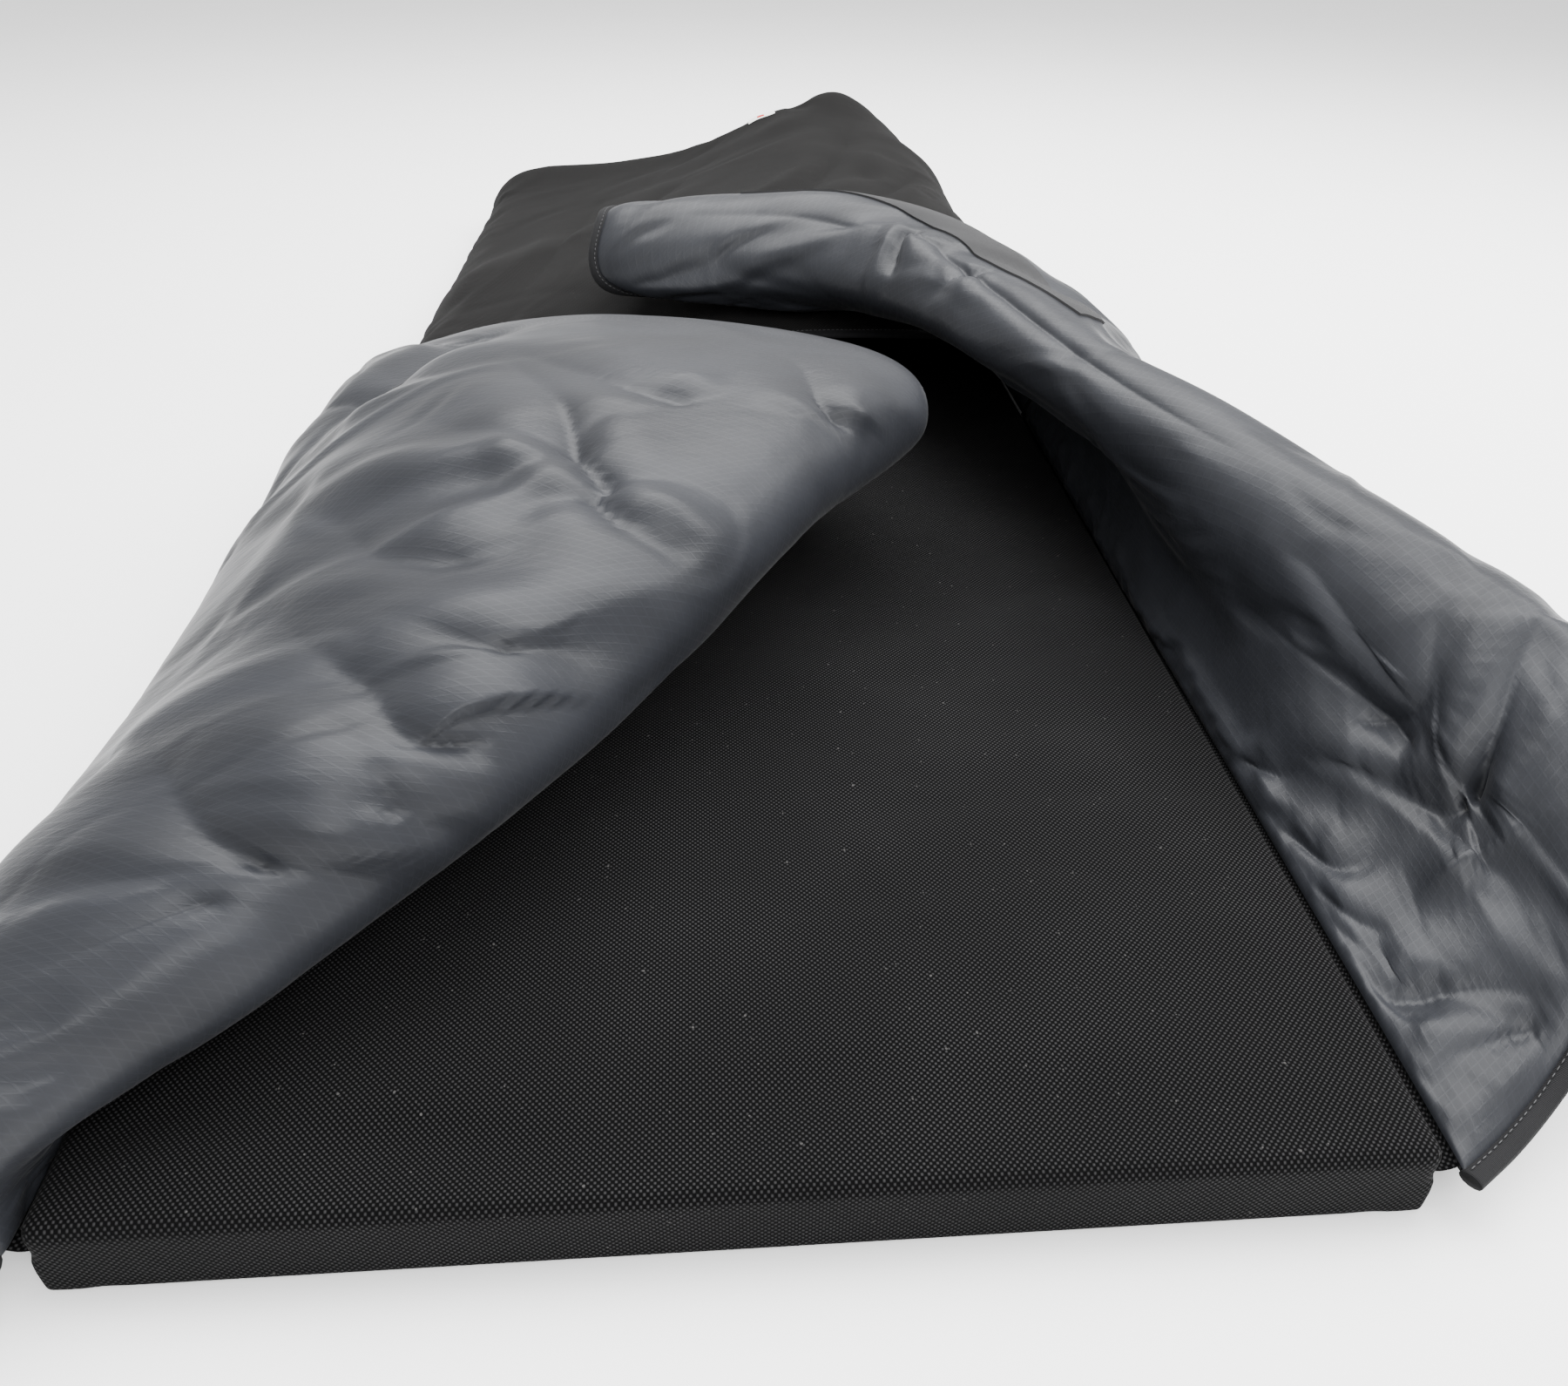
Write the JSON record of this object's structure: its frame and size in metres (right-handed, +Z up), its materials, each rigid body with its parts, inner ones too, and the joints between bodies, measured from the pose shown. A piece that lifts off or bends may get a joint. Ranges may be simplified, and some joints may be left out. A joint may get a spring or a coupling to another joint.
{
  "type": "infrared sauna blanket",
  "caption": "Padded heated mat with a closed foot cover and two heated side flaps, turned back like lapels, that hinge on the mat's long side seams.",
  "frame": {"origin": "centre of the mat's flat underside", "axes": "+X across the mat to the right seen from the head end, +Y from the head end to the foot end, +Z up out of the mat"},
  "size_m": [0.9629, 1.841, 0.2387],
  "materials": {
    "black_canvas": "woven, matt",
    "slate_ripstop": "ripstop nylon, satin",
    "white_wadding": "fibre wadding",
    "grey_foam": "open-cell foam",
    "carbon_film": "printed film",
    "aluminium_foil": "foil",
    "copper_foil": "bright copper",
    "nickel_case": "nickel plated",
    "silicone_jacket": "satin",
    "black_plastic": "moulded",
    "fastener_tape": "hook and loop",
    "label_cloth": "woven label"
  },
  "bodies": {
    "mat": {"foot_cover_binding": "black_canvas", "foot_cover_bus_bar_near_hem": "copper_foil", "foot_cover_bus_bar_near_seam": "copper_foil", "foot_cover_heater_film": "carbon_film", "foot_cover_lining": "slate_ripstop", "foot_cover_shell": "black_canvas", "foot_cover_thermostat": "nickel_case", "foot_cover_wadding": "white_wadding", "foot_piping": "black_canvas", "label_patch": "label_cloth", "mat_bottom_cover": "black_canvas", "mat_bus_bar_left": "copper_foil", "mat_bus_bar_right": "copper_foil", "mat_comfort_felt": "white_wadding", "mat_foam_core": "grey_foam", "mat_harness": "silicone_jacket", "mat_heater_film": "carbon_film", "mat_reflector_foil": "aluminium_foil", "mat_temperature_probe": "nickel_case", "mat_thermostat": "nickel_case", "mat_top_cover": "black_canvas", "power_inlet_flange": "black_plastic", "power_inlet_housing": "black_plastic", "power_inlet_pin_1": "copper_foil", "power_inlet_pin_2": "copper_foil", "power_inlet_pin_3": "copper_foil", "side_piping_left": "black_canvas", "side_piping_right": "black_canvas"},
    "left_flap": {"left_flap_binding": "black_canvas", "left_flap_bus_bar_near_hem": "copper_foil", "left_flap_bus_bar_near_seam": "copper_foil", "left_flap_heater_film": "carbon_film", "left_flap_lining": "slate_ripstop", "left_flap_loop_tape": "fastener_tape", "left_flap_shell": "black_canvas", "left_flap_thermostat": "nickel_case", "left_flap_wadding": "white_wadding"},
    "right_flap": {"right_flap_binding": "black_canvas", "right_flap_bus_bar_near_hem": "copper_foil", "right_flap_bus_bar_near_seam": "copper_foil", "right_flap_heater_film": "carbon_film", "right_flap_hook_tape": "fastener_tape", "right_flap_lining": "slate_ripstop", "right_flap_shell": "black_canvas", "right_flap_thermostat": "nickel_case", "right_flap_wadding": "white_wadding"}
  },
  "joints": [
    {"name": "left_flap_hinge", "type": "hinge", "parent": "mat", "child": "left_flap", "pos_m": [-0.3283, 0, 0.03], "axis": [0, -1, 0], "range_deg": [0, 24]},
    {"name": "right_flap_hinge", "type": "hinge", "parent": "mat", "child": "right_flap", "pos_m": [0.3283, 0, 0.03], "axis": [0, 1, 0], "range_deg": [0, 24]}
  ]
}
